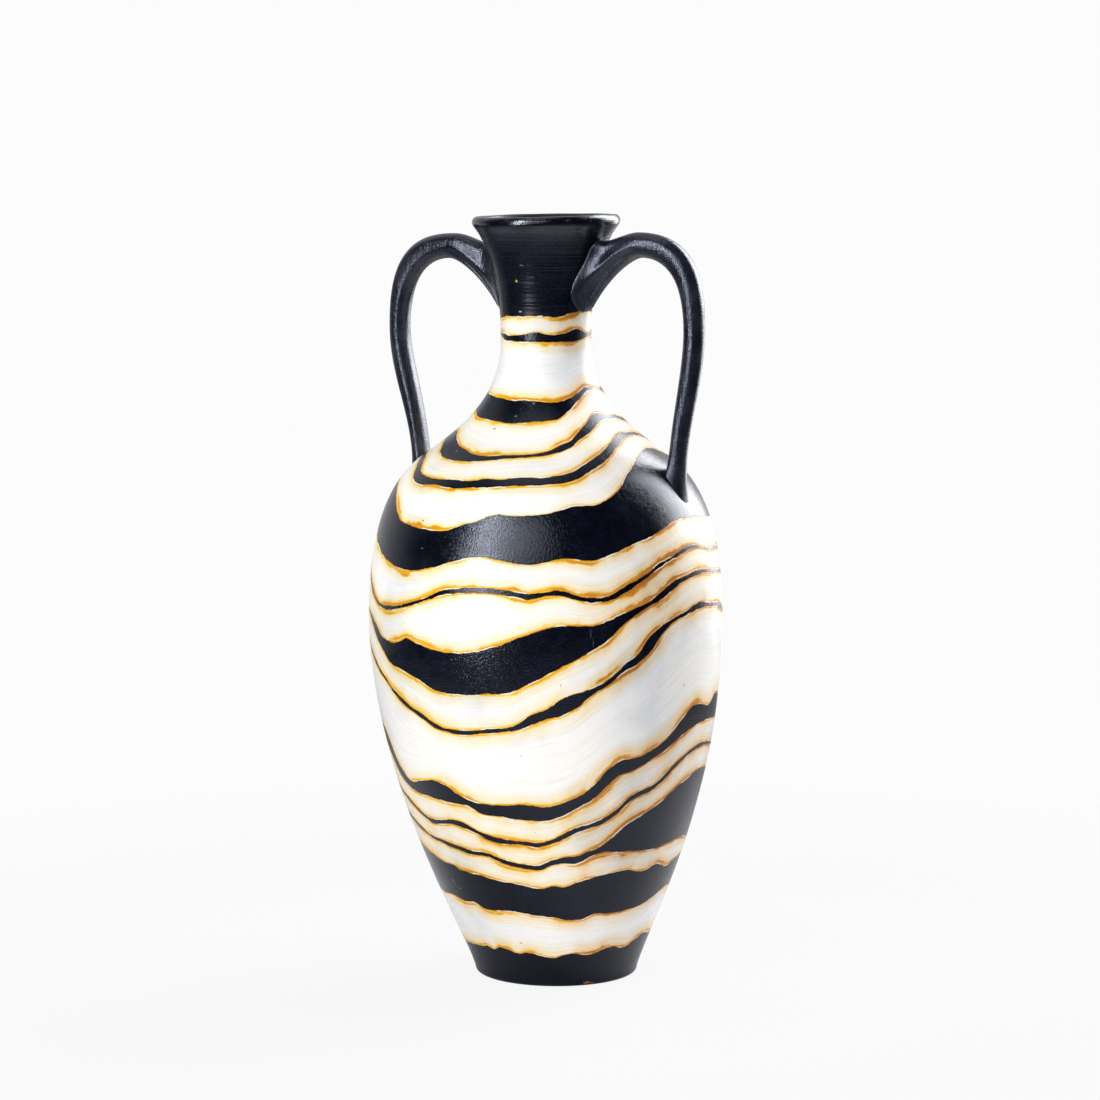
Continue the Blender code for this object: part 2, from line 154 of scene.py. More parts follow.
# Edges of the painted bands from the foot up: black below the first and above the last, and by turns ivory
# and black between them. Each edge passes through (degrees round from the front, millimetres up).
EDGES = [
    [(-85, 20), (-70, 21.5), (-50, 22.5), (-45, 23.5), (-40, 22), (-35, 24), (-30, 23.5), (-25, 21.5),
     (-15, 22.5), (-5, 20.2), (0, 20), (5, 21.5), (10, 22.5), (20, 21), (25, 21.5), (30, 23.5), (35, 24.5),
     (45, 22.5), (50, 23.5), (55, 26), (60, 28), (65, 28.5), (75, 26.5), (95, 24), (120, 27), (150, 22),
     (185, 25), (220, 21), (250, 23)],
    [(-85, 52.5), (-65, 53.5), (-58, 54), (-50, 52), (-42, 52.5), (-37, 50), (-20, 50), (-10, 48), (0, 47),
     (5, 45.5), (10, 45), (15, 45.5), (20, 48), (30, 47.5), (45, 49), (55, 51.5), (60, 53.5), (70, 57),
     (80, 56), (100, 51), (130, 54), (160, 49), (195, 44), (225, 48), (250, 53)],
    [(-85, 83), (-70, 81), (-60, 78), (-55, 76), (-50, 76), (-45, 73.5), (-35, 72), (-25, 69.5), (-15, 68),
     (-10, 66.5), (-5, 66), (0, 67.5), (5, 67), (10, 69.5), (15, 71.5), (25, 74), (35, 75), (40, 73),
     (45, 73), (52, 75.5), (60, 72), (70, 74.5), (80, 75), (100, 70), (130, 76), (160, 70), (195, 62),
     (225, 71), (250, 80)],
    [(-85, 98), (-75, 97.5), (-65, 93.5), (-55, 90), (-45, 87.5), (-35, 85), (-28, 85), (-20, 81),
     (-10, 78.5), (-5, 78), (0, 81), (5, 82.5), (10, 82), (15, 85.5), (20, 88), (30, 87.5), (40, 86.5),
     (50, 86.5), (60, 88.5), (70, 88.5), (80, 86), (100, 84), (130, 92), (160, 88), (195, 80), (225, 88),
     (250, 96)],
    [(-85, 101), (-75, 100.5), (-65, 96), (-60, 93.5), (-50, 91), (-40, 89), (-35, 87.5), (-28, 87.5),
     (-20, 83.5), (-10, 81), (-5, 81), (0, 84.5), (5, 86.5), (10, 87), (15, 89.5), (20, 92.5), (25, 98),
     (30, 104.5), (35, 108.5), (40, 112), (45, 116), (50, 121), (55, 125), (60, 127.5), (65, 130),
     (70, 130.5), (80, 129), (100, 119), (130, 113), (160, 101), (195, 87), (225, 92), (250, 99)],
    [(-85, 116), (-70, 111), (-60, 104.5), (-55, 101.5), (-40, 103), (-30, 99), (-25, 95.5), (-10, 94),
     (-5, 93), (0, 95), (5, 98), (10, 102), (20, 107), (25, 111.5), (30, 119), (40, 125), (45, 130),
     (50, 136.5), (60, 144), (65, 145.5), (80, 143), (100, 136), (130, 128), (160, 115), (195, 100),
     (225, 105), (250, 113)],
    [(-85, 119), (-75, 116), (-70, 113.5), (-65, 110.5), (-60, 107), (-55, 104.5), (-45, 105), (-40, 106),
     (-35, 105), (-30, 101.5), (-20, 97.5), (-10, 96), (-5, 95.5), (0, 97.5), (5, 101.5), (10, 105),
     (15, 107), (20, 110), (25, 115), (30, 122), (35, 125.5), (40, 128), (45, 133.5), (50, 139.5),
     (55, 143.5), (60, 146.5), (65, 148), (70, 147.5), (80, 145), (100, 139), (130, 132), (160, 120),
     (195, 104), (225, 109), (250, 117)],
    [(-85, 143), (-80, 141), (-75, 134), (-70, 126), (-65, 122), (-60, 120), (-50, 118.5), (-40, 117),
     (-30, 115.5), (-28, 113.5), (-20, 111.5), (-10, 110), (0, 110), (5, 113), (10, 117.5), (15, 122),
     (20, 129.5), (25, 136.5), (30, 138.5), (35, 142), (40, 146), (45, 150), (50, 155), (55, 158.5),
     (60, 160.5), (70, 161.5), (80, 160), (100, 155), (130, 146), (160, 136), (195, 122), (225, 131),
     (250, 141)],
    [(-85, 156), (-80, 155), (-75, 149), (-70, 137), (-65, 129), (-60, 125.5), (-55, 127), (-50, 128.5),
     (-45, 129.5), (-40, 127.5), (-35, 123), (-30, 120), (-20, 118.5), (-10, 119.5), (0, 118.5), (5, 121),
     (10, 124.5), (15, 130), (20, 139.5), (25, 145.5), (30, 146), (35, 148), (40, 152), (45, 157.5),
     (50, 165.5), (55, 172), (70, 171.5), (75, 175.5), (80, 174.5), (100, 171), (130, 168), (160, 158),
     (195, 141), (225, 147), (250, 158)],
    [(-85, 204), (-80, 199.5), (-75, 195), (-70, 189.5), (-65, 185.5), (-60, 179.5), (-55, 174.5),
     (-50, 171), (-45, 167), (-40, 163), (-35, 161.5), (-31, 160.8), (-20, 163), (-10, 165.5), (-5, 169),
     (0, 172.5), (5, 174.5), (10, 179.5), (15, 187), (20, 192), (25, 199), (30, 203.5), (35, 210.5),
     (40, 220.5), (45, 226), (50, 228.5), (60, 231.5), (70, 230), (80, 226), (100, 216), (130, 205),
     (160, 196), (195, 184), (225, 195), (250, 209)],
    [(-85, 207), (-80, 202), (-75, 197.5), (-70, 192), (-65, 187.5), (-60, 182), (-55, 178), (-50, 173.5),
     (-45, 170.5), (-40, 166), (-35, 163.5), (-30, 163.5), (-20, 165.5), (-10, 169), (-5, 175), (0, 178.5),
     (5, 184.5), (10, 187.5), (15, 190.5), (20, 195), (25, 203), (30, 209), (35, 219.5), (40, 225),
     (45, 228.5), (50, 231), (55, 234), (60, 235), (65, 233), (75, 231), (80, 228), (100, 220), (130, 211),
     (160, 203), (195, 189), (225, 199), (250, 212)],
    [(-85, 224), (-80, 222.5), (-75, 217), (-70, 210), (-65, 204.5), (-60, 198), (-55, 196), (-50, 194),
     (-45, 191.5), (-40, 187.5), (-35, 185.5), (-30, 185), (-20, 186.5), (-10, 189), (-5, 194), (0, 198.5),
     (5, 203.5), (10, 208), (15, 213), (20, 219), (25, 227), (30, 233), (35, 237), (40, 240.5), (45, 245.5),
     (50, 249), (60, 251.5), (75, 249), (85, 247), (105, 238), (130, 228), (160, 217), (195, 209),
     (225, 217), (250, 228)],
    [(-85, 226), (-80, 225), (-75, 222), (-70, 218), (-65, 212.5), (-60, 211), (-55, 211.5), (-50, 215),
     (-45, 213), (-40, 211), (-25, 210.5), (-20, 212.5), (-15, 215.5), (-10, 219.5), (-5, 223), (0, 226),
     (10, 227.5), (15, 227), (20, 230), (25, 233.5), (30, 236.5), (35, 240), (40, 245), (45, 249.5),
     (50, 251.5), (60, 254), (75, 251), (85, 249), (105, 243), (130, 240), (160, 235), (195, 222),
     (225, 224), (250, 231)],
    [(-85, 247), (-75, 235.5), (-65, 230), (-55, 231.5), (-45, 236.5), (-35, 243), (-20, 246), (-10, 244.5),
     (-5, 243), (0, 245), (5, 245), (10, 242.5), (15, 241), (20, 241.5), (25, 245), (30, 249.5),
     (35, 254.5), (40, 259), (50, 264.5), (60, 267), (70, 263.5), (80, 262.5), (105, 258), (130, 252),
     (160, 247), (195, 239), (225, 244), (250, 251)],
    [(-85, 250), (-80, 245), (-75, 238.5), (-70, 233.5), (-65, 232), (-60, 232.5), (-55, 233.5), (-50, 236),
     (-45, 238.5), (-40, 241.5), (-35, 246), (-30, 247.5), (-20, 249), (-10, 247.5), (-5, 246), (0, 247.5),
     (5, 248), (10, 245), (15, 243.5), (20, 244), (25, 248.5), (30, 252.5), (35, 256.5), (40, 261.5),
     (45, 263.5), (50, 267), (55, 269), (60, 268.5), (65, 266.5), (70, 265), (80, 264), (105, 261),
     (130, 256), (160, 252), (195, 243), (225, 247), (250, 254)],
    [(-85, 272), (-80, 268), (-75, 265), (-70, 262), (-65, 259), (-60, 257), (-55, 255.5), (-50, 255.3),
     (-45, 256.5), (-40, 258.5), (-35, 261), (-30, 264), (-20, 266.5), (-15, 265), (-10, 263.5), (-5, 263),
     (0, 264.5), (5, 266.5), (10, 266), (15, 265), (20, 267), (25, 270), (30, 273.5), (35, 275.5),
     (40, 278), (45, 281), (50, 284), (60, 284.5), (80, 282), (105, 276), (130, 268), (160, 266),
     (195, 260), (225, 264), (250, 273)],
    [(-85, 302), (-80, 300), (-75, 296.5), (-70, 292), (-65, 286.5), (-60, 282.5), (-55, 281), (-50, 280.3),
     (-40, 279.7), (-35, 280.8), (-30, 284), (-25, 286.5), (-20, 290), (-10, 290.5), (0, 291.5),
     (10, 295.5), (20, 297), (25, 300.5), (30, 305), (35, 310.5), (40, 314.5), (45, 317.5), (50, 320),
     (60, 322.5), (70, 322.5), (80, 320), (105, 310), (130, 300), (160, 289), (195, 286), (225, 293),
     (250, 301)],
    [(-85, 316), (-75, 312.5), (-65, 305.5), (-57, 304), (-50, 305), (-40, 304), (-30, 305), (-20, 306),
     (-10, 307), (0, 307.5), (10, 309), (20, 314.5), (30, 319.5), (40, 325), (50, 328.5), (60, 330.5),
     (75, 330.2), (105, 322), (130, 314), (160, 307), (195, 303), (225, 308), (250, 315)],
    [(-85, 319), (-75, 316.5), (-65, 310.5), (-55, 308.5), (-40, 308.5), (-30, 309), (-25, 310.5),
     (-20, 310), (-10, 311.5), (0, 311.5), (10, 313.5), (20, 319), (30, 323.5), (40, 328.5), (50, 332),
     (60, 332.3), (75, 331.8), (105, 325), (130, 319), (160, 313), (195, 308), (225, 312), (250, 318)],
    [(-85, 327), (-75, 325), (-65, 321), (-55, 319), (-40, 318.5), (-30, 319.5), (-20, 321), (-10, 322),
     (0, 323), (10, 325.5), (15, 327.5), (20, 330.5), (30, 334.5), (40, 339), (45, 340.5), (55, 341),
     (70, 340.5), (80, 339), (105, 334), (130, 328), (160, 322), (195, 319), (225, 322), (250, 327)],
    [(-85, 333), (-75, 332), (-65, 329), (-55, 326), (-45, 324), (-40, 322.5), (-30, 322), (-20, 323),
     (-10, 323.5), (0, 325), (10, 329), (15, 330.5), (20, 334), (30, 339.5), (40, 344), (45, 345),
     (55, 343.5), (70, 343), (80, 341), (105, 338), (130, 333), (160, 328), (195, 323), (225, 327),
     (250, 333)],
    [(-85, 345), (-75, 344), (-65, 342), (-55, 341.5), (-45, 341), (-30, 340), (-20, 340), (-10, 341),
     (0, 341.5), (10, 342.5), (15, 345), (20, 347.5), (30, 352), (40, 356), (45, 357.5), (55, 358.5),
     (80, 356.5), (105, 351), (130, 348), (160, 343), (195, 340), (225, 341), (250, 344)],
    [(-85, 356), (-75, 355), (-60, 354), (-45, 353.5), (-30, 352.5), (-20, 353), (0, 352), (10, 352),
     (20, 353.5), (30, 356), (40, 359), (45, 360), (55, 359.8), (80, 358.5), (105, 357), (130, 356),
     (160, 353), (195, 351), (225, 353), (250, 355)],
    [(-75, 389.8), (-65, 388), (-55, 387.5), (-35, 387.4), (-15, 387.3), (15, 387.5), (40, 387.5),
     (50, 388.5), (60, 389.6), (85, 390), (120, 388.5), (160, 387.5), (200, 388), (240, 389.5)],
    [(-75, 391.5), (-65, 391.5), (-55, 390.5), (-45, 391), (-30, 391.5), (-20, 392.5), (-10, 393), (0, 392),
     (10, 391.5), (20, 391.8), (30, 393.3), (38, 394.3), (45, 394.5), (52, 393.6), (62, 392), (85, 391.8),
     (120, 392), (160, 392.5), (200, 391), (240, 391)],
    [(-70, 401), (-60, 402), (-40, 402.3), (-20, 402.5), (0, 402.5), (10, 402), (20, 402.5), (30, 404),
     (40, 404.5), (50, 406), (80, 405), (120, 402), (160, 401.5), (200, 403), (240, 401.5)],
]


def smooth_line(points):
    """Closed smooth line through an edge's points, as a function from degrees to metres."""
    turn, up = np.array(points, float).T
    turn = np.concatenate((turn[-2:] - 360, turn, turn[:2] + 360))
    up = np.concatenate((up[-2:], up, up[:2])) / 1000
    rate = np.gradient(up, turn)

    def at(degrees):
        degrees = (degrees - turn[2]) % 360 + turn[2]
        i = np.clip(np.searchsorted(turn, degrees, "right") - 1, 0, len(turn) - 2)
        span = turn[i + 1] - turn[i]
        t = (degrees - turn[i]) / span
        start, end = (1 + 2 * t) * (1 - t) ** 2 * up[i], t * t * (3 - 2 * t) * up[i + 1]
        return start + end + span * t * (1 - t) * ((1 - t) * rate[i] - t * rate[i + 1])

    return at


LINES = [smooth_line(points) for points in EDGES]

# Where the ochre beside each of those edges was laid on again, or left thin: (degrees from, to, tenths more)
STROKES = [
    [(-38, -27, 3), (-26, -20, -1), (-20, -2, 2), (4, 12, -2), (12, 30, 4), (30, 60, 2)],
    [(-62, -38, 4), (-38, -16, 2), (16, 70, -1)],
    [(-82, -55, 3), (-50, -38, 2), (-14, 0, 2), (12, 21, 3), (38, 62, 3)],
    [(-28, -8, 2), (-2, 10, -1), (13, 33, 5), (33, 72, 2)],
    [(-50, -34, 1), (14, 34, 3), (34, 60, 2)],
    [(-60, -30, 1), (-30, -19, 4), (-18, -2, 3), (0, 70, 1)],
    [(-52, -34, -1), (-16, -4, 1), (18, 60, 1)],
    [(-60, -4, 1), (4, 14, 2), (14, 32, 4), (32, 56, 2)],
    [(-62, -44, -1), (-42, -28, 2), (6, 20, 3), (20, 46, 4), (46, 60, 4)],
    [(-85, -45, -2), (-44, -28, -1), (-2, 13, 2), (13, 42, 3)],
    [(-66, -46, 2), (-45, -30, 1), (-28, -8, -1), (13, 21, 3), (21, 62, 2)],
    [(-60, -20, 1), (-4, 10, 3), (11, 28, 3), (28, 47, 4)],
    [(-76, -64, 2), (-66, -48, 3), (-47, -18, 3), (-2, 8, 2), (8, 24, 4), (24, 48, 5)],
    [(-72, -58, 4), (-12, 0, 1), (18, 28, 3), (26, 48, 5)],
    [(-76, -58, 2), (-58, -24, 2), (-24, -8, 3), (3, 24, 8), (24, 52, 5)],
    [(-78, -68, 2), (-68, -43, 6), (-43, -28, 2), (-26, 1, -2), (2, 16, 4), (26, 50, 2)],
    [(-68, -40, 6), (-30, 2, -4), (2, 26, -2), (26, 60, -1)],
    [(-60, -27, 4), (4, 28, 2)],
    [(-76, -54, 1), (-26, 1, -3), (12, 30, 1)],
    [(-60, -40, 1), (-34, 16, -2), (18, 34, 1)],
    [(-78, -44, 2), (-44, -24, 4), (4, 22, 3), (24, 60, 1)],
    [(-85, -50, 3), (-30, 1, 2), (14, 26, 2), (24, 42, 3)],
    [(-52, -30, 2), (-32, 2, 4), (2, 22, 3), (22, 46, 2)],
    [(-40, -8, -1), (-6, 10, 3), (10, 48, 3)],
    [(-42, -10, -2), (14, 36, 2)],
    [(-72, -48, 3), (-46, -20, 2), (4, 20, 4), (20, 48, 5)],
]


def ochre(n, turn):
    """How heavily the ochre lies along edge n, 0 to 1."""
    turn = (turn + 180) % 360 - 180
    laid = 5 + 1.5 * np.sin(np.radians(3 * turn + 70 * n)) * (np.abs(turn) > 80)
    for start, end, more in STROKES[n]:
        away = np.abs(turn - (start + end) / 2) / ((end - start) / 2)
        laid = laid + more * np.clip(1.3 - away, 0, 0.5) * 2
    return np.clip(laid / 10, 0.05, 1.1)


LEVELS = np.array([line(np.arange(0, 360, 5)).mean() for line in LINES])

edge_turn = np.arange(0, 360, 0.125)
edge_tree = kdtree.KDTree(len(LINES) * len(edge_turn))
for n, line in enumerate(LINES):
    edge_up = line(edge_turn)
    edge_r = np.interp(edge_up, OUTSIDE[:, 1], OUTSIDE[:, 0])
    edge_x, edge_y = edge_r * np.cos(np.radians(edge_turn)), edge_r * np.sin(np.radians(edge_turn))
    for k, spot in enumerate(zip(edge_x, edge_y, edge_up)):
        edge_tree.insert(spot, n * len(edge_turn) + k)
edge_tree.balance()


def band_paint(around, z):
    """For each point: millimetres inside (+) or outside (-) the nearest black band, the run of the bands and
    the weight of the ochre."""
    turn = np.degrees(around - FRONT)
    heights = np.array([line(turn) for line in LINES])
    black = (heights < z).sum(axis=0) % 2 == 0
    r = np.interp(z, OUTSIDE[:, 1], OUTSIDE[:, 0])
    spots = np.column_stack((r * np.cos(np.radians(turn)), r * np.sin(np.radians(turn)), z))
    found = [edge_tree.find(spot) for spot in spots]
    near = np.array([distance for _, _, distance in found]) * 1000
    nearest = np.array([index for _, index, _ in found]) // len(edge_turn)
    wash = np.choose(nearest, [ochre(n, turn) for n in range(len(LINES))])
    low, high = np.full_like(z, -0.02), np.full_like(z, 0.48)
    flow_low, flow_high = low.copy(), high.copy()
    for height, level in zip(heights, LEVELS):
        under = height < z
        low, flow_low = np.where(under, height, low), np.where(under, level, flow_low)
    for height, level in zip(heights[::-1], LEVELS[::-1]):
        over = height >= z
        high, flow_high = np.where(over, height, high), np.where(over, level, flow_high)
    flow = flow_low + (z - low) / (high - low) * (flow_high - flow_low)
    return np.where(black, near, -near), flow, wash


def turned(name, rows, columns, loop):
    """Rows of (radius, height, finish) turned round the axis, with the band paint kept at each point."""
    rows = np.array(rows)
    around = np.arange(columns) / columns * 2 * pi + FRONT
    vertices, starts, angles, ups, skins = [], [], [], [], []
    for r, z, finish in rows:
        turn = around if r > 0 else around[:1]
        starts.append(sum(map(len, vertices)))
        vertices.append(place(turn, r, z))
        angles.append(turn)
        ups.append(np.full(len(turn), z))
        skins.append(np.full(len(turn), finish))
    faces, finishes = [], []
    pairs = [(i, i + 1) for i in range(len(rows) - 1)] + ([(len(rows) - 1, 0)] if loop else [])
    step = np.arange(columns)
    ahead = (step + 1) % columns
    for i, j in pairs:
        a, b = starts[i], starts[j]
        if rows[i][0] == 0:
            faces += np.column_stack((np.full(columns, a), b + ahead, b + step)).tolist()
        elif rows[j][0] == 0:
            faces += np.column_stack((a + step, a + ahead, np.full(columns, b))).tolist()
        else:
            faces += np.column_stack((a + step, a + ahead, b + ahead, b + step)).tolist()
        finishes += [int(max(rows[i][2], rows[j][2]))] * columns
    mesh = bpy.data.meshes.new(name)
    mesh.from_pydata(np.concatenate(vertices).tolist(), [], faces)
    mesh.polygons.foreach_set("material_index", finishes)
    angles, ups, skins = map(np.concatenate, (angles, ups, skins))
    painted = skins == 0
    edge, flow, wash = np.zeros(len(ups)), ups.copy(), np.zeros(len(ups))
    edge[painted], flow[painted], wash[painted] = band_paint(angles[painted], ups[painted])
    for attribute, values in (("band_edge", edge), ("band_flow", flow), ("band_wash", wash)):
        mesh.attributes.new(attribute, "FLOAT", "POINT").data.foreach_set("value", values)
    mesh.shade_smooth()
    mesh.set_sharp_from_angle(angle=radians(50))
    piece = bpy.data.objects.new(name, mesh)
    bpy.context.scene.collection.objects.link(piece)
    return piece


def finished(points, finish):
    return np.column_stack((points, np.full(len(points), finish)))


def linear(colour):
    """Linear colour of an sRGB hex value."""
    parts = [int(colour[i:i + 2], 16) / 255 for i in (1, 3, 5)]
    return (*(c / 12.92 if c <= 0.04045 else ((c + 0.055) / 1.055) ** 2.4 for c in parts), 1)


def new_material(name):
    """An empty material, its node tree and the shader that reaches its output."""
    material = bpy.data.materials.new(name)
    material.use_nodes = True
    return material, material.node_tree, material.node_tree.nodes["Principled BSDF"]


def add(tree, kind, inputs=None, **settings):
    """One node of this kind, with its settings, and its inputs linked to a node or a socket, or set."""
    made = tree.nodes.new("ShaderNode" + kind)
    for key, value in settings.items():
        if key == "stops":
            ramp = made.color_ramp
            while len(ramp.elements) < len(value):
                ramp.elements.new(1)
            for stop, (position, colour) in zip(ramp.elements, value):
                stop.position = position
                stop.color = linear(colour) if isinstance(colour, str) else (colour, colour, colour, 1)
        else:
            setattr(made, key, value)
    for key, value in (inputs or {}).items():
        if isinstance(value, bpy.types.Node):
            value = next(socket for socket in value.outputs if socket.enabled)
        if isinstance(value, bpy.types.NodeSocket):
            tree.links.new(value, made.inputs[key])
        else:
            made.inputs[key].default_value = value
    return made


MM = 1000  # noise scale whose features are about a millimetre: scale = MM / millimetres


def bare_clay(name, tone, tone_dark):
    """Fired red earthenware, bare: dull orange-brown with pale grog, finger lines and no shine."""
    material, tree, shader = new_material(name)
    spot = add(tree, "TexCoord").outputs["Object"]
    cloud = add(tree, "TexNoise", {"Vector": spot, "Scale": MM / 22, "Detail": 5, "Roughness": 0.6})
    grog = add(tree, "TexVoronoi", {"Vector": spot, "Scale": MM / 2.2, "Randomness": 1})
    lines = add(tree, "Mapping", {"Vector": spot, "Scale": (6, 6, MM / 2.4)})
    comb = add(tree, "TexNoise", {"Vector": lines, "Scale": 1, "Detail": 3})
    ground = add(tree, "ValToRGB", {"Fac": cloud}, stops=((0.28, tone_dark), (0.62, tone), (0.8, "#C98B66")))
    speck = add(tree, "ValToRGB", {"Fac": grog}, stops=((0.10, 1.0), (0.22, 0.0)))
    colour = add(tree, "Mix", {"Factor": speck, "A": ground, "B": linear("#D8AE86")}, data_type="RGBA")
    tree.links.new(colour.outputs["Result"], shader.inputs["Base Color"])
    height = add(tree, "Math", {0: comb, 1: cloud}, operation="ADD")
    bump = add(tree, "Bump", {"Height": height, "Strength": 0.7, "Distance": 0.0004})
    tree.links.new(bump.outputs[0], shader.inputs["Normal"])
    rough = add(tree, "MapRange", {"Value": cloud, "To Min": 0.8, "To Max": 0.95})
    tree.links.new(rough.outputs[0], shader.inputs["Roughness"])
    return material


def band_painting(name):
    """Hand-brushed satin paint on rubbed clay: warm ivory gone cool in patches, blue-black bands with a fine
    leathery grain, and golden ochre in strokes along the bands' edges that thins out into the ivory."""
    material, tree, shader = new_material(name)
    spot = add(tree, "TexCoord").outputs["Object"]
    edge = add(tree, "Attribute", attribute_name="band_edge").outputs["Fac"]
    flow = add(tree, "Attribute", attribute_name="band_flow").outputs["Fac"]
    laid = add(tree, "Attribute", attribute_name="band_wash").outputs["Fac"]
    part = add(tree, "SeparateXYZ", {"Vector": spot})
    along = add(tree, "CombineXYZ", {"X": part.outputs["X"], "Y": part.outputs["Y"], "Z": flow}).outputs[0]

    # Edge of the black as the brush left it: slow waver, small teeth, in millimetres
    waver = add(tree, "TexNoise", {"Vector": spot, "Scale": MM / 6, "Detail": 2})
    teeth = add(tree, "TexNoise", {"Vector": spot, "Scale": MM / 1.6, "Detail": 2})
    rim = add(tree, "Math", {0: waver, 1: 1.7, 2: edge}, operation="MULTIPLY_ADD")
    rim = add(tree, "Math", {0: teeth, 1: 0.5, 2: rim}, operation="MULTIPLY_ADD")
    rim = add(tree, "Math", {0: rim, 1: 1.1}, operation="SUBTRACT").outputs[0]
    black = add(tree, "MapRange", {"Value": rim, "From Min": -0.12, "From Max": 0.12}).outputs[0]

    # Brush lines that follow the bands, about 1 mm apart and very long
    strokes = add(tree, "Mapping", {"Vector": along, "Scale": (18, 18, MM / 1.1)})
    brush = add(tree, "TexNoise", {"Vector": strokes, "Scale": 1, "Detail": 4, "Roughness": 0.65})

    # Ivory ground: cool where the coat is thin, warm where thick, with faint brush lines
    cloud = add(tree, "TexNoise", {"Vector": spot, "Scale": MM / 70, "Detail": 4, "Roughness": 0.55})
    # Painted shade of the neck: the ivory is made greyer and cooler above the shoulder
    thin = add(tree, "MapRange", {"Value": part.outputs["Z"], "From Min": 0.345, "From Max": 0.372,
                                  "To Min": 0, "To Max": -0.1})
    coat = add(tree, "Math", {0: cloud, 1: thin}, operation="ADD")
    ivory = add(tree, "ValToRGB", {"Fac": coat},
                stops=((0.36, "#E2E5E9"), (0.48, "#F4F3F1"), (0.62, "#F8F6F0")))
    streak = add(tree, "ValToRGB", {"Fac": brush},
                 stops=((0.28, "#F7F3EC"), (0.5, "#FFFFFF"), (1, "#FFFFFF")))
    ivory = add(tree, "Mix", {"Factor": 1.0, "A": ivory, "B": streak},
                data_type="RGBA", blend_type="MULTIPLY")

    # Ochre, a see-through glaze: a ragged stroke of up to 4 mm beside the black, over a wash that thins out
    # in 12 mm, more slowly low on the pot and on its right. Where the black stops short of it, a hair of
    # bare ivory is left between them.
    smears = add(tree, "Mapping", {"Vector": along, "Scale": (MM / 28, MM / 28, MM / 1.4)})
    ragged = add(tree, "TexNoise", {"Vector": smears, "Scale": 1, "Detail": 4, "Roughness": 0.6})
    off = add(tree, "Math", {0: ragged, 1: -3.4, 2: 1.5}, operation="MULTIPLY_ADD")
    off = add(tree, "Math", {0: off, 1: edge}, operation="SUBTRACT").outputs[0]
    patch = add(tree, "TexNoise", {"Vector": along, "Scale": MM / 19, "Detail": 4, "Roughness": 0.6})
    width = add(tree, "MapRange", {"Value": patch, "From Min": 0.36, "From Max": 0.64,
                                   "To Min": 0.7, "To Max": 3.8})
    width = add(tree, "Math", {0: width, 1: laid}, operation="MULTIPLY")
    within = add(tree, "Math", {0: width, 1: off}, operation="SUBTRACT")
    stroke = add(tree, "MapRange", {"Value": within, "From Min": -1.3, "From Max": 0.7},
                 interpolation_type="SMOOTHSTEP")
    loaded = add(tree, "MapRange", {"Value": brush, "From Min": 0.32, "From Max": 0.62,
                                    "To Min": -0.1, "To Max": 0.72})
    loaded = add(tree, "Math", {0: laid, 1: 0.55, 2: loaded}, operation="MULTIPLY_ADD", use_clamp=True)
    stroke = add(tree, "Math", {0: stroke, 1: loaded}, operation="MULTIPLY")
    level = add(tree, "VectorMath", {0: spot, 1: (1, 1, 0)}, operation="MULTIPLY")
    level = add(tree, "VectorMath", {0: level}, operation="NORMALIZE")
    aside = add(tree, "VectorMath", {0: level, 1: (cos(FRONT + 1.2), sin(FRONT + 1.2), 0)},
                operation="DOT_PRODUCT")
    haze = add(tree, "MapRange", {"Value": rim, "From Min": -12, "From Max": 0})
    thins = add(tree, "MapRange", {"Value": part.outputs["Z"], "From Min": 0.15, "From Max": 0.25,
                                   "To Min": 1.5, "To Max": 2.5})
    spreads = add(tree, "MapRange", {"Value": aside, "From Min": 0.45, "From Max": 0.85,
                                     "To Min": 0, "To Max": -0.9})
    thins = add(tree, "Math", {0: thins, 1: spreads}, operation="ADD")
    thins = add(tree, "Math", {0: thins, 1: 1.5}, operation="MAXIMUM")
    haze = add(tree, "Math", {0: haze, 1: thins}, operation="POWER")
    haze = add(tree, "Math", {0: haze, 1: laid}, operation="MULTIPLY")
    cloudy = add(tree, "Mix", {"Factor": 0.35, "A": patch, "B": ragged})
    cover = add(tree, "MapRange", {"Value": cloudy, "From Min": 0.36, "From Max": 0.64,
                                   "To Min": 0.22, "To Max": 0.9})
    haze = add(tree, "Math", {0: haze, 1: cover}, operation="MULTIPLY")
    wash = add(tree, "Math", {0: stroke, 1: haze}, operation="MAXIMUM", use_clamp=True)
    fired = add(tree, "TexNoise", {"Vector": along, "Scale": MM / 14, "Detail": 3})
    hair = add(tree, "MapRange", {"Value": rim, "From Min": -0.85, "From Max": -0.45})
    missed = add(tree, "MapRange", {"Value": fired, "From Min": 0.50, "From Max": 0.58,
                                    "To Min": 0, "To Max": 0.9})
    hair = add(tree, "Math", {0: hair, 1: missed}, operation="MULTIPLY")
    kept = add(tree, "Math", {0: 1, 1: hair}, operation="SUBTRACT")
    wash = add(tree, "Math", {0: wash, 1: kept}, operation="MULTIPLY")
    pooled = add(tree, "MapRange", {"Value": rim, "From Min": -1.1, "From Max": -0.1, "To Min": 0,
                                    "To Max": 0.28})
    pooled = add(tree, "Math", {0: pooled, 1: laid}, operation="MULTIPLY")
    pooled = add(tree, "Math", {0: pooled, 1: kept}, operation="MULTIPLY")
    wash = add(tree, "Math", {0: wash, 1: pooled}, operation="ADD", use_clamp=True)
    golden = add(tree, "ValToRGB", {"Fac": wash},
                 stops=((0, "#FFFFFF"), (0.12, "#FFF6DE"), (0.28, "#FFE7A8"),
                        (0.5, "#FDD05A"), (0.75, "#F7B928"), (1, "#E29C0C")))
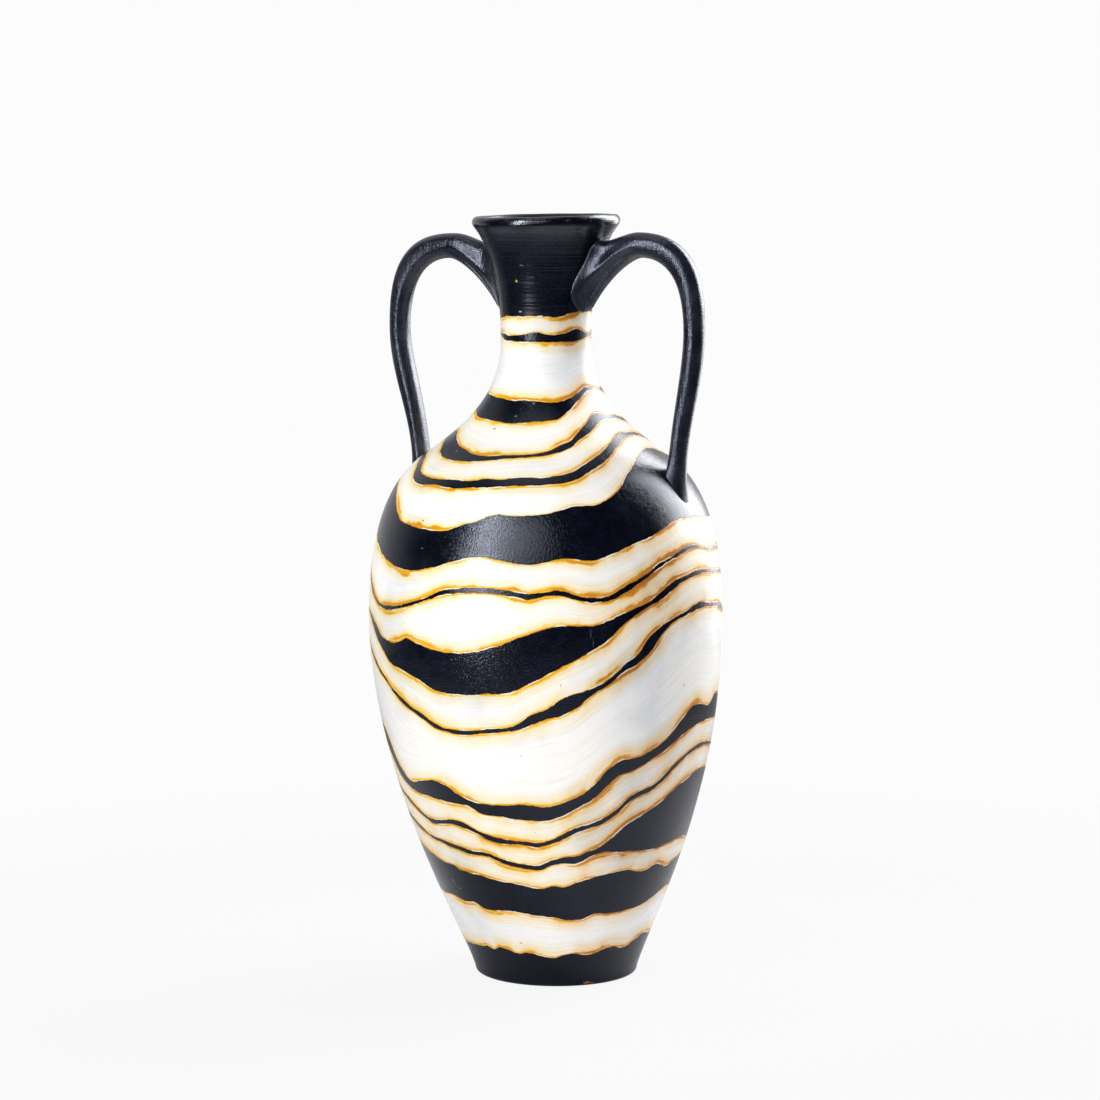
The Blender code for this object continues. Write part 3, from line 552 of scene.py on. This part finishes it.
    burnt = add(tree, "ValToRGB", {"Fac": wash},
                stops=((0, "#FFFFFF"), (0.12, "#FCEFDB"), (0.28, "#F7DCB2"),
                       (0.5, "#F1C283"), (0.75, "#E2A04C"), (1, "#B9742C")))
    # Painted shade: the ochre turns browner and duller toward the pot's right, the side the lamps light
    # less; low on the pot it turns browner too
    side = add(tree, "MapRange", {"Value": aside, "From Min": 0.38, "From Max": 0.8,
                                  "To Min": -0.45, "To Max": 0.48})
    low = add(tree, "MapRange", {"Value": part.outputs["Z"], "From Min": 0.08, "From Max": 0.17,
                                 "To Min": 0.3, "To Max": 0})
    tone = add(tree, "Math", {0: side, 1: low}, operation="ADD")
    tone = add(tree, "Math", {0: fired, 1: tone}, operation="ADD", use_clamp=True)
    glaze = add(tree, "Mix", {"Factor": tone, "A": golden, "B": burnt}, data_type="RGBA")
    painted = add(tree, "Mix",
                  {"Factor": 1.0, "A": ivory, "B": glaze},
                  data_type="RGBA", blend_type="MULTIPLY")

    # Blue-black with a fine grain, mottled where it was rubbed
    grain = add(tree, "TexNoise", {"Vector": spot, "Scale": MM / 1.0, "Detail": 1, "Roughness": 0.5})
    mottle = add(tree, "TexNoise", {"Vector": spot, "Scale": MM / 11, "Detail": 5, "Roughness": 0.65})
    dust = add(tree, "Mix", {"Factor": 0.45, "A": grain, "B": mottle})
    coal = add(tree, "ValToRGB", {"Fac": dust},
               stops=((0.36, "#02040A"), (0.52, "#060915"), (0.68, "#151A2A")))
    colour = add(tree, "Mix", {"Factor": black, "A": painted, "B": coal}, data_type="RGBA").outputs["Result"]

    # Marks of use, ragged at the edge, and one painted glint of a dent in the neck's black: degrees from the
    # front, millimetres up, across and tall, and a tint
    jitter = 0.0016
    shake = add(tree, "TexNoise", {"Vector": spot, "Scale": MM / 0.9, "Detail": 2})
    worn = add(tree, "VectorMath", {0: shake.outputs["Color"], 1: (jitter,) * 3, 2: spot},
               operation="MULTIPLY_ADD").outputs[0]
    for degrees, up, across, tall, tint in (
        (22, 2.0, 4.6, 1.6, "#8F553A"), (26, 1.4, 2.0, 1.0, "#8F553A"), (-64, 1.6, 2.5, 1.2, "#6E4630"),
        (140, 2.0, 5.0, 2.2, "#A8623E"), (-20, 29, 2.2, 0.9, "#CDA75C"), (-53, 64, 1.6, 7, "#4C4C58"),
        (-50, 60, 4.0, 1.4, "#3C3C48"), (-6, 102, 0.9, 0.9, "#BDB9B2"), (-9, 150, 1.2, 1.8, "#D9D6CE"),
        (50, 187, 1.1, 2.0, "#CFCBC5"), (4.5, 192.5, 0.8, 1.7, "#C9A084"),
        (14.1, 222.6, 0.9, 5.5, "#34343C"), (14.9, 217.4, 0.9, 6, "#2E2E36"),
        (-45, 269, 2.4, 0.9, "#4C505A"), (-47.5, 284.5, 1.6, 1.0, "#7A6238"),
        (-37.5, 336.5, 2.6, 0.8, "#8F8B84"), (-24.5, 344, 1.6, 0.7, "#6C6C72"),
        (-11, 351.3, 1.8, 0.9, "#77767C"), (-53, 323.3, 2.2, 0.8, "#5B5C64"),
        (-7.5, 402.6, 4.0, 0.9, "#E4E1DC"), (-33, 405.2, 2.6, 0.8, "#9A9AA0"),
        (-35, 423.5, 1.7, 1.5, "#D2A24A"), (-17, 426, 4.4, 0.8, "#3C404A"),
        # The grey mark at 433 mm up is a painted glint, light caught in a small dent in the neck's black
        (-26, 433, 3.0, 1.1, "#4A4E58"), (200, 120, 1.6, 1.2, "#B08A60"), (160, 300, 1.4, 1.2, "#6A6A70"),
        (235, 180, 1.2, 1.8, "#A39C92"),
    ):
        z = up / 1000
        r = np.interp(z, OUTSIDE[:, 1], OUTSIDE[:, 0])
        at = place(np.array(FRONT + radians(degrees)), r, z) + jitter / 2
        squash = np.array((1, 1, across / tall))
        spread = add(tree, "Mapping", {"Vector": worn, "Location": -at * squash, "Scale": squash})
        away = add(tree, "VectorMath", {0: spread}, operation="LENGTH")
        mark = add(tree, "MapRange", {"Value": away, "From Min": across / 2500,
                                      "From Max": across / 1800, "To Min": 1, "To Max": 0})
        colour = add(tree, "Mix", {"Factor": mark, "A": colour, "B": linear(tint)},
                     data_type="RGBA").outputs["Result"]

    # Paint rubbed brown along the lip and the foot
    rub = add(tree, "TexNoise", {"Vector": spot, "Scale": MM / 7, "Detail": 5, "Roughness": 0.7})
    lip = add(tree, "MapRange", {"Value": part.outputs["Z"], "From Min": 0.4545, "From Max": 0.4600,
                                 "To Min": -0.95, "To Max": -0.52})
    foot = add(tree, "MapRange", {"Value": part.outputs["Z"], "From Min": 0.0005, "From Max": 0.0040,
                                  "To Min": -0.50, "To Max": -0.95})
    rubbed = add(tree, "Math", {0: lip, 1: foot}, operation="MAXIMUM")
    rubbed = add(tree, "Math", {0: rub, 1: rubbed}, operation="ADD")
    rubbed = add(tree, "MapRange", {"Value": rubbed, "From Min": 0.02, "From Max": 0.09,
                                    "To Min": 0, "To Max": 0.75})
    colour = add(tree, "Mix", {"Factor": rubbed, "A": colour, "B": linear("#5A3B2B")},
                 data_type="RGBA").outputs["Result"]
    tree.links.new(colour, shader.inputs["Base Color"])

    satin = add(tree, "MapRange", {"Value": mottle, "From Min": 0.3, "From Max": 0.7,
                                   "To Min": 0.14, "To Max": 0.22})
    dull = add(tree, "ValToRGB", {"Fac": part.outputs["Z"]},
               stops=((0.39, 0.0), (0.405, 0.13), (0.446, 0.13), (0.454, 0.0)))
    satin = add(tree, "Math", {0: satin, 1: dull}, operation="ADD")
    rough = add(tree, "Mix", {"Factor": black, "A": 0.26, "B": satin})
    tree.links.new(rough.outputs["Result"], shader.inputs["Roughness"])
    polish = add(tree, "ValToRGB", {"Fac": part.outputs["Z"]},
                 stops=((0.07, 0.42), (0.2, 0.66), (0.39, 0.66), (0.405, 0.4), (0.446, 0.4), (0.455, 0.95)))
    polish = add(tree, "Mix", {"Factor": black, "A": 0.3, "B": polish})
    tree.links.new(polish.outputs["Result"], shader.inputs["Specular IOR Level"])
    shader.inputs["Specular Tint"].default_value = linear("#E3EAFA")

    # Relief: a leathery grain, fainter on the neck, brush lines on the ivory, turning lines on the neck's
    # black, and the paint's thickness
    turning = add(tree, "Mapping", {"Vector": spot, "Scale": (9, 9, MM / 1.3)})
    ring = add(tree, "TexNoise", {"Vector": turning, "Scale": 1, "Detail": 2})
    high = add(tree, "MapRange", {"Value": part.outputs["Z"], "From Min": 0.398, "From Max": 0.404,
                                  "To Min": 0, "To Max": 5})
    ring = add(tree, "Math", {0: ring, 1: high}, operation="MULTIPLY")
    lines = add(tree, "Mix", {"Factor": black, "A": brush, "B": ring})
    height = add(tree, "Math", {0: lines, 1: 0.5, 2: black}, operation="MULTIPLY_ADD")
    grained = add(tree, "MapRange", {"Value": part.outputs["Z"], "From Min": 0.398, "From Max": 0.404,
                                     "To Min": 1.7, "To Max": 0.7})
    height = add(tree, "Math", {0: grain, 1: grained, 2: height}, operation="MULTIPLY_ADD")
    bump = add(tree, "Bump", {"Height": height, "Strength": 0.8, "Distance": 0.00016})
    tree.links.new(bump.outputs[0], shader.inputs["Normal"])
    return material


BAND_PAINT = band_painting("brushed_band_paint_on_earthenware")
BARE_CLAY = bare_clay("bare_red_earthenware", "#B8704C", "#96573A")

SKIN_STEP = 0.0010
JOINT_STEP = 0.004
INSIDE_STEP = 0.006
FOOT_HOLLOW = 0.0008
FLOOR_CURVE = 0.012
INSIDE = OUTSIDE - NORMAL * WALL
foot_edge = np.interp(FOOT_ROUND, OUTSIDE[:, 1], OUTSIDE[:, 0])
floor_edge = np.interp(FLOOR + FLOOR_CURVE, INSIDE[:, 1], INSIDE[:, 0])
lower_rows = np.concatenate((
    [(0, FOOT_HOLLOW, 1)],
    finished(np.column_stack((np.linspace(0.004, foot_edge - 0.006, 9), np.full(9, FOOT_HOLLOW))), 1),
    finished([(foot_edge - 0.0045, 0)], 1),
    finished(arc((foot_edge - FOOT_ROUND, FOOT_ROUND), FOOT_ROUND, -90, -15, 6), 0),
    finished(wall(0, FOOT_ROUND, BELLY_JOINT, SKIN_STEP), 0),
    finished(wall(WALL / 2, BELLY_JOINT, BELLY_JOINT + LAP, JOINT_STEP), 1),
    finished(wall(WALL, FLOOR + FLOOR_CURVE, BELLY_JOINT + LAP, INSIDE_STEP)[::-1], 1),
    finished(arc((floor_edge - FLOOR_CURVE, FLOOR + FLOOR_CURVE), FLOOR_CURVE, -15, -90, 6), 1),
    [(0.015, FLOOR, 1), (0, FLOOR + 0.001, 1)],
))
lower_body = turned("lower_body_thrown_bowl", lower_rows, 360, loop=False)
lower_body.data.materials.append(BAND_PAINT)
lower_body.data.materials.append(BARE_CLAY)
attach(lower_body, "root")
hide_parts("lower_body")


# Shoulder: the upper half, thrown on its own and set on the bowl's tongue while both were leather-hard.
# The joint was luted with slip, scraped flush and painted over, so no seam shows. A tongue at its top takes
# the neck.

NECK_JOINT = 0.352
SHOULDER_INSIDE_STEP = 0.005

shoulder_rows = np.concatenate((
    finished(wall(0, BELLY_JOINT, NECK_JOINT, SKIN_STEP), 0),
    finished(wall(WALL / 2, NECK_JOINT, NECK_JOINT + LAP, JOINT_STEP), 1),
    finished(wall(WALL, BELLY_JOINT + LAP, NECK_JOINT + LAP, SHOULDER_INSIDE_STEP)[::-1], 1),
    finished(wall(WALL / 2, BELLY_JOINT, BELLY_JOINT + LAP, JOINT_STEP)[::-1], 1),
))
shoulder = turned("shoulder_thrown_upper_half", shoulder_rows, 360, loop=True)
shoulder.data.materials.append(BAND_PAINT)
shoulder.data.materials.append(BARE_CLAY)
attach(shoulder, "root")
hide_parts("shoulder")


# Neck: thrown narrow and opened to a flared mouth with a rounded lip, then luted on the shoulder's tongue.
# Black paint covers its upper part and runs over the lip a little way down inside, where it stops unevenly.


def mouth_painting(name):
    """The same black over bare clay: matt and thin where it runs down inside, ending in a ragged line."""
    material, tree, shader = new_material(name)
    spot = add(tree, "TexCoord").outputs["Object"]
    up = add(tree, "SeparateXYZ", {"Vector": spot}).outputs["Z"]
    drip = add(tree, "Mapping", {"Vector": spot, "Scale": (MM / 9, MM / 9, MM / 30)})
    drip = add(tree, "TexNoise", {"Vector": drip, "Scale": 1, "Detail": 4, "Roughness": 0.6})
    grain = add(tree, "TexNoise", {"Vector": spot, "Scale": MM / 1.4, "Detail": 3})
    end = add(tree, "Math", {0: drip, 1: 0.040, 2: up}, operation="MULTIPLY_ADD")
    cover = add(tree, "MapRange", {"Value": end, "From Min": 0.4485, "From Max": 0.4500})
    clay = add(tree, "ValToRGB", {"Fac": grain}, stops=((0.3, "#96573A"), (0.7, "#BC7651")))
    coal = add(tree, "ValToRGB", {"Fac": grain}, stops=((0.3, "#07090F"), (0.8, "#171A22")))
    colour = add(tree, "Mix", {"Factor": cover, "A": clay, "B": coal}, data_type="RGBA")
    tree.links.new(colour.outputs["Result"], shader.inputs["Base Color"])
    rough = add(tree, "MapRange", {"Value": cover, "To Min": 0.85, "To Max": 0.36})
    tree.links.new(rough.outputs[0], shader.inputs["Roughness"])
    bump = add(tree, "Bump", {"Height": grain, "Strength": 0.6, "Distance": 0.0002})
    tree.links.new(bump.outputs[0], shader.inputs["Normal"])
    return material


MOUTH_PAINT_TO = 0.395  # the paint inside stops above this height
MOUTH_STEP = 0.0025
lip_slope = SLOPE[-1]
lip_centre = OUTSIDE[-1] - NORMAL[-1] * WALL / 2
lip_turn = np.linspace(0, pi, 13)[1:-1]
lip_round = np.outer(np.sin(lip_turn), lip_slope) + np.outer(np.cos(lip_turn), NORMAL[-1])
lip = lip_centre + lip_round * WALL / 2
neck_rows = np.concatenate((
    finished(wall(0, NECK_JOINT, OUTSIDE[-1, 1], SKIN_STEP), 0),
    finished(lip, 0),
    finished(wall(WALL, MOUTH_PAINT_TO, INSIDE[-1, 1], MOUTH_STEP)[::-1], 2),
    finished(wall(WALL, NECK_JOINT + LAP, MOUTH_PAINT_TO, JOINT_STEP)[::-1][1:], 1),
    finished(wall(WALL / 2, NECK_JOINT, NECK_JOINT + LAP, JOINT_STEP)[::-1], 1),
))
neck = turned("neck_thrown_with_flared_mouth", neck_rows, 220, loop=True)
neck.data.materials.append(BAND_PAINT)
neck.data.materials.append(BARE_CLAY)
neck.data.materials.append(mouth_painting("black_paint_run_out_inside_the_mouth"))
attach(neck, "root")
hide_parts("neck")


# Slip: the runny clay that joins the bowl, the shoulder and the neck. It was brushed on the tongues, fired
# with the pot, and stays hidden inside the lap joints.

FIRED_SLIP = bare_clay("fired_clay_slip", "#A9613F", "#8A4D33")
for name in ("belly_slip", "neck_slip"):
    slip_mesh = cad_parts[name].data
    slip_mesh.materials.clear()
    slip_mesh.materials.append(FIRED_SLIP)


# Handles: two straps of clay, pulled by hand, bent over and pressed on below the mouth and on the shoulder.
# Thumbs spread each end and its slip over the pot, with hollows and ridges at the neck. They are painted
# black all over.

ROOT_DROP = 0.010
ROOT_DEPTH = 0.050
ROOT_WIDTH = 0.020
ARCH_REACH = 0.062
ARCH_OFFSET = 0.003
ARCH_THICKNESS = 0.0150
ARCH_WIDTH = 0.0165
SIDE_DROP = 0.058
SIDE_THICKNESS = 0.0117
SIDE_WIDTH = 0.0145
LANDING_SINK = 0.020
LANDING_THICKNESS = 0.0140
LANDING_WIDTH = 0.0150
STRAP_SQUARENESS = 2.2
STRAP_POINTS = 64  # round the strap
STRAP_STEPS = 70  # along each span
ABOVE_BELLY = 0.23
ROOT_WAIST = 0.0185
SLIP_SPREAD, FLANK_SPREAD = 0.0012, 0.0050
SLIP_REACH, FLANK_REACH = 0.005, 0.007
TUCK_DEPTH, TUCK_BELOW = 0.0045, 0.4075
OUTER_PULLS = [((0.46, 0.35), (0.75, 1)), ((0.72, 0), (1, 0.28)), ((0, 0.38), (2, 0.58))]
INNER_PULLS = [((0.23, 0.57), (0.77, 1)), ((0.62, 0), (1, 0.38)), ((0, 0.20), (1, 0.50))]


def strap_edge(stations, pulls):
    """One edge of a strap as evenly timed points through its stations."""
    line = []
    for start, end, (leave, arrive) in zip(stations, stations[1:], pulls):
        start, end = np.array(start), np.array(end)
        run = end - start
        timed = np.linspace(0, 1, STRAP_STEPS, False)
        line.append(bezier(start, start + run * leave, start + run * arrive, end, timed))
    return np.concatenate((*line, [end]))


def off_the_pot(spots):
    """Distance of points from the outside of the pot, and its normal there."""
    r = np.hypot(spots[:, 0], spots[:, 1])
    around = np.arctan2(spots[:, 1], spots[:, 0])
    z = spots[:, 2]
    level = np.interp(z, OUTSIDE[:, 1], OUTSIDE[:, 0]) + proud(around, z)
    flat, rise = np.interp(z, OUTSIDE[:, 1], NORMAL[:, 0]), np.interp(z, OUTSIDE[:, 1], NORMAL[:, 1])
    normal = np.column_stack((flat * np.cos(around), flat * np.sin(around), rise))
    return (r - level) * flat, normal


def strap(name, side, drop, reach, landing, seed):
    """A pulled strap with its ends spread on the pot; side is 1 for the right and -1 for the left."""
    top = HEIGHT - drop
    upper = OUTSIDE[OUTSIDE[:, 1] > ABOVE_BELLY]
    sunk = np.interp(-landing, -upper[:, 0], upper[:, 1]) - LANDING_SINK
    root = STATIONS[3][0] - WALL / 2
    outer = strap_edge([(root, top - ROOT_DROP), (ARCH_REACH, top), (reach, top - SIDE_DROP),
                        (landing + LANDING_THICKNESS / 2, sunk)], OUTER_PULLS)
    inner = strap_edge([(root, top - ROOT_DROP - ROOT_DEPTH),
                        (ARCH_REACH + ARCH_OFFSET, top - ARCH_THICKNESS),
                        (reach - SIDE_THICKNESS, top - SIDE_DROP),
                        (landing - LANDING_THICKNESS / 2, sunk)], INNER_PULLS)
    share = np.linspace(0, 3, len(outer))
    widths = (ROOT_WIDTH, ROOT_WAIST, ARCH_WIDTH, SIDE_WIDTH, LANDING_WIDTH)
    width = np.interp(share, (0, 0.35, 1, 2, 3), widths)
    points = STRAP_POINTS
    turn = np.arange(points) / points * 2 * pi  # 0 on the outer edge, a quarter turn on the near side
    c, s = np.cos(turn), np.sin(turn)
    rings = []
    for i, t in enumerate(share):
        middle, half = (outer[i] + inner[i]) / 2, (outer[i] - inner[i]) / 2
        thumbed = np.clip(1 - t / 1.1, 0, 1) ** 1.1
        degrees = np.degrees(np.abs(np.arctan2(s, c)))  # 0 on the outer edge, 180 on the inner
        square = STRAP_SQUARENESS + 1.8 * thumbed * np.clip(-c * 3, 0, 1)
        out = np.sign(c) * np.abs(c) ** (2 / square)
        wide = np.sign(s) * np.abs(s) ** (2 / square)
        ridge = degrees - 88 - 12 * thumbed
        shape = 1 + thumbed * (
            0.18 * np.exp(-(ridge / 8) ** 2) - (0.22 + 0.06 * side) * np.exp(-((ridge + 30) / 19) ** 2)
            - 0.36 * np.exp(-((ridge - 20) / 9) ** 2) + 0.08 * np.exp(-((ridge - 42) / 9) ** 2))
        lumps = (
            1 + 0.018 * np.sin(2.1 * t * pi + seed) + 0.014 * np.sin(turn * 2 + 4.3 * t + seed)
            + 0.010 * np.sin(turn * 3 - 7 * t + 2 * seed)
            + 0.016 * np.sin(turn * 6 + 1.1 * np.sin(2.3 * t + seed) + seed) * np.clip(t - 0.4, 0, 1))
        n = out * lumps
        y = -wide * shape * lumps * width[i] / 2 * (1 - 0.7 * thumbed * np.clip(-n, 0, 1) ** 1.3)
        lift = 0.009 * thumbed * (y / 0.012) ** 2 * np.clip(-n, 0, 1)
        ring = np.column_stack((middle[0] + half[0] * n, y, middle[1] + half[1] * n + lift))
        centre = np.array((middle[0], 0, middle[1]))
        ring[:, 0] *= side
        centre[0] *= side
        gap, normal = off_the_pot(ring)
        away = ring - centre
        away -= normal * (away * normal).sum(1)[:, None]
        away /= np.maximum(np.linalg.norm(away, axis=1), 1e-6)[:, None]
        flank = np.clip(np.sin(np.radians(degrees)), 0, 1)
        reach_in = SLIP_REACH + FLANK_REACH * flank
        spread = (SLIP_SPREAD + FLANK_SPREAD * flank) * (1 + 0.2 * np.sin(3 * turn + seed))
        spread = spread * np.clip(1 - gap / reach_in, 0, 1) ** 3
        spread = spread * (np.clip(1.3 + n, 0.15, 1) if t < 1.5 else 0.35)
        tucked = TUCK_DEPTH * np.clip((TUCK_BELOW - ring[:, 2]) / 0.006, 0, 1)
        tucked = tucked * np.clip(1.4 - gap / 0.005, 0, 1) * (t < 1)
        rings.append(ring + away * spread[:, None] - normal * tucked[:, None])
    count = len(rings)
    step = np.arange(points)
    ahead = (step + 1) % points
    quads = np.concatenate([np.column_stack((i * points + step, i * points + ahead, (i + 1) * points + ahead,
                                             (i + 1) * points + step)) for i in range(count - 1)])
    if side > 0:
        quads = quads[:, ::-1]
    faces = quads.tolist() + [step.tolist(), ((count - 1) * points + step).tolist()]
    if side > 0:
        faces[-1] = faces[-1][::-1]
    else:
        faces[-2] = faces[-2][::-1]
    mesh = bpy.data.meshes.new(name)
    mesh.from_pydata(np.concatenate(rings).tolist(), [], faces)
    mesh.shade_smooth()
    mesh.set_sharp_from_angle(angle=radians(60))
    piece = bpy.data.objects.new(name, mesh)
    bpy.context.scene.collection.objects.link(piece)
    return piece


def handle_painting(name):
    """Black paint brushed on pulled clay: charcoal with a soft shine, lighter than the body's black partly
    as a painted sheen, fine clay grain, faint brush lines across the strap and a little brown where hands
    have rubbed it."""
    material, tree, shader = new_material(name)
    spot = add(tree, "TexCoord").outputs["Object"]
    cloud = add(tree, "TexNoise", {"Vector": spot, "Scale": MM / 14, "Detail": 4})
    grain = add(tree, "TexNoise", {"Vector": spot, "Scale": MM / 1.1, "Detail": 2, "Roughness": 0.5})
    pulls = add(tree, "Mapping", {"Vector": spot, "Rotation": (0, 0.9, 0),
                                  "Scale": (MM / 1.5, MM / 12, MM / 12)})
    pull = add(tree, "TexNoise", {"Vector": pulls, "Scale": 1, "Detail": 2})
    # Painted sheen, in part: the charcoal is lighter than the body's black to stand in for the strap's shine
    colour = add(tree, "ValToRGB", {"Fac": cloud},
                 stops=((0.3, "#11131C"), (0.55, "#1B1D28"), (0.8, "#2E313C")))
    rub = add(tree, "TexNoise", {"Vector": spot, "Scale": MM / 5, "Detail": 5, "Roughness": 0.7})
    worn = add(tree, "MapRange", {"Value": rub, "From Min": 0.64, "From Max": 0.76,
                                  "To Min": 0, "To Max": 0.55})
    colour = add(tree, "Mix", {"Factor": worn, "A": colour, "B": linear("#4A3428")}, data_type="RGBA")
    tree.links.new(colour.outputs["Result"], shader.inputs["Base Color"])
    rough = add(tree, "MapRange", {"Value": cloud, "From Min": 0.3, "From Max": 0.7,
                                   "To Min": 0.2, "To Max": 0.31})
    tree.links.new(rough.outputs[0], shader.inputs["Roughness"])
    shader.inputs["Specular IOR Level"].default_value = 0.85
    shader.inputs["Specular Tint"].default_value = linear("#DCE4FA")
    height = add(tree, "Math", {0: pull, 1: 1.1, 2: grain}, operation="MULTIPLY_ADD")
    bump = add(tree, "Bump", {"Height": height, "Strength": 0.7, "Distance": 0.0003})
    tree.links.new(bump.outputs[0], shader.inputs["Normal"])
    return material


HANDLE_PAINT = handle_painting("black_paint_on_pulled_clay")
for hand, side, drop, reach, landing, seed in (
    ("right", 1, 0.0075, 0.1044, 0.0885, 1.0),
    ("left", -1, 0.0101, 0.1065, 0.0870, 2.6),
):
    handle = strap(f"handle_{hand}_pulled_strap", side, drop, reach, landing, seed)
    handle.data.materials.append(HANDLE_PAINT)
    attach(handle, "root")
    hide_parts(f"handle_{hand}", f"{hand}_upper_slip", f"{hand}_lower_slip")


# Studio: a pale floor that runs into a white background, a narrow soft box at the left for the sheen, a
# large bright screen behind on the right for the pale edge, weaker screens between, and a camera a little
# above the mouth's height.

PAPER_HALF = 9
floor_mesh = bpy.data.meshes.new("studio_floor")
corners = [(x * PAPER_HALF, y * PAPER_HALF, 0) for x, y in ((-1, -1), (1, -1), (1, 1), (-1, 1))]
floor_mesh.from_pydata(corners, [], [(0, 1, 2, 3)])
studio_floor = bpy.data.objects.new("studio_floor", floor_mesh)
bpy.context.scene.collection.objects.link(studio_floor)

# White paper: dull, so that it takes the pot's shadow; seen by the camera it fades to the white background.
# To everything else it is grey, darkening almost to black away from the pot: painted shade of the unlit room
PAPER_WHITE = linear("#FCFCFC")
paper, tree, shader = new_material("white_studio_paper")
shader.inputs["Roughness"].default_value = 0.9
shader.inputs["Specular IOR Level"].default_value = 0.1
spot = add(tree, "TexCoord").outputs["Object"]
reach = add(tree, "VectorMath", {0: spot}, operation="LENGTH").outputs["Value"]
paper_painted_shade = add(tree, "ValToRGB", {"Fac": reach}, stops=((0.25, "#BEBEC2"), (0.8, "#222228")))
tree.links.new(paper_painted_shade.outputs[0], shader.inputs["Base Color"])
seen = add(tree, "LightPath").outputs["Is Camera Ray"]
fade = add(tree, "MapRange", {"Value": reach, "From Min": 0.12, "From Max": 0.70,
                              "To Min": 0.92, "To Max": 1}, interpolation_type="SMOOTHSTEP")
white = add(tree, "Math", {0: fade, 1: seen}, operation="MULTIPLY")
behind = add(tree, "VectorMath", {0: spot, 1: (-cos(FRONT), -sin(FRONT), 0)}, operation="DOT_PRODUCT")
behind = add(tree, "MapRange", {"Value": behind, "From Min": 0.4, "From Max": 1.6,
                                "To Min": 0, "To Max": 0.7})
white = add(tree, "Math", {0: white, 1: behind}, operation="MAXIMUM")
glow = add(tree, "Emission", {"Color": PAPER_WHITE, "Strength": 1.0})
blend = add(tree, "MixShader", {"Fac": white, 1: shader, 2: glow})
tree.links.new(blend.outputs[0], tree.nodes["Material Output"].inputs["Surface"])
floor_mesh.materials.append(paper)

# White background behind the pot, dark room in front of it
world = bpy.data.worlds.new("studio_surround")
bpy.context.scene.world = world
world.use_nodes = True
tree = world.node_tree
surround = tree.nodes["Background"]
surround.inputs["Color"].default_value = PAPER_WHITE
ray = add(tree, "TexCoord").outputs["Generated"]
back = add(tree, "VectorMath", {0: ray, 1: (-cos(FRONT), -sin(FRONT), 0.25)}, operation="DOT_PRODUCT")
room = add(tree, "MapRange", {"Value": back, "From Min": 0.15, "From Max": 0.85,
                              "To Min": 0.02, "To Max": 0.6}, interpolation_type="SMOOTHSTEP")
seen = add(tree, "LightPath").outputs["Is Camera Ray"]
light_level = add(tree, "Math", {0: room, 1: seen}, operation="MAXIMUM")
tree.links.new(light_level.outputs[0], surround.inputs["Strength"])


def soft_light(name, azimuth, elevation, distance, width, height, watts):
    """A soft box that faces the belly, its azimuth measured from the viewer towards the right."""
    light = bpy.data.lights.new(name, "AREA")
    light.shape = "RECTANGLE"
    light.size, light.size_y, light.energy = width, height, watts
    lamp = bpy.data.objects.new(name, light)
    turn = FRONT + radians(azimuth)
    flat = cos(radians(elevation)) * distance
    lamp.location = (flat * cos(turn), flat * sin(turn), 0.25 + sin(radians(elevation)) * distance)
    lamp.rotation_euler = (radians(90 - elevation), 0, turn + pi / 2)
    bpy.context.scene.collection.objects.link(lamp)
    return lamp


soft_light("left_soft_box", -44, 21, 1.6, 0.22, 1.5, 18)
soft_light("front_left_soft_box", -31, 24, 1.7, 0.4, 0.9, 4)
soft_light("front_screen", -13, 26, 1.7, 0.6, 0.9, 3.2)
soft_light("right_soft_box", 124, 36, 1.4, 0.75, 1.5, 4).visible_glossy = False
soft_light("right_screen", 126, 31, 1.5, 1.1, 1.3, 36)
soft_light("left_screen", -112, 12, 1.6, 1.0, 1.2, 8).visible_glossy = False
soft_light("right_low_soft_box", 141, 0, 1.6, 0.6, 0.44, 3)
soft_light("front_left_low_box", -33, -1, 1.7, 0.34, 0.3, 0.7)
soft_light("top_soft_box", -60, 80, 1.8, 0.9, 0.9, 2)
soft_light("front_fill", 22, 0, 1.8, 1.2, 0.48, 11).visible_glossy = False  # lifts the ivory, not the shine

CAMERA_AZIMUTH = radians(27)
CAMERA_DISTANCE = 2.347
CAMERA_HEIGHT = 0.542
CAMERA_PITCH = radians(6.87)
CAMERA_ASIDE = 0.00245
lens = bpy.data.cameras.new("studio_camera")
lens.sensor_width = 36
lens.lens = 127.5
camera = bpy.data.objects.new("studio_camera", lens)
camera.location = (
    sin(CAMERA_AZIMUTH) * CAMERA_DISTANCE + cos(CAMERA_AZIMUTH) * CAMERA_ASIDE,
    -cos(CAMERA_AZIMUTH) * CAMERA_DISTANCE + sin(CAMERA_AZIMUTH) * CAMERA_ASIDE,
    CAMERA_HEIGHT,
)
camera.rotation_euler = (radians(90) - CAMERA_PITCH, 0, CAMERA_AZIMUTH)
bpy.context.scene.collection.objects.link(camera)
bpy.context.scene.camera = camera
bpy.context.scene.view_settings.view_transform = "Standard"
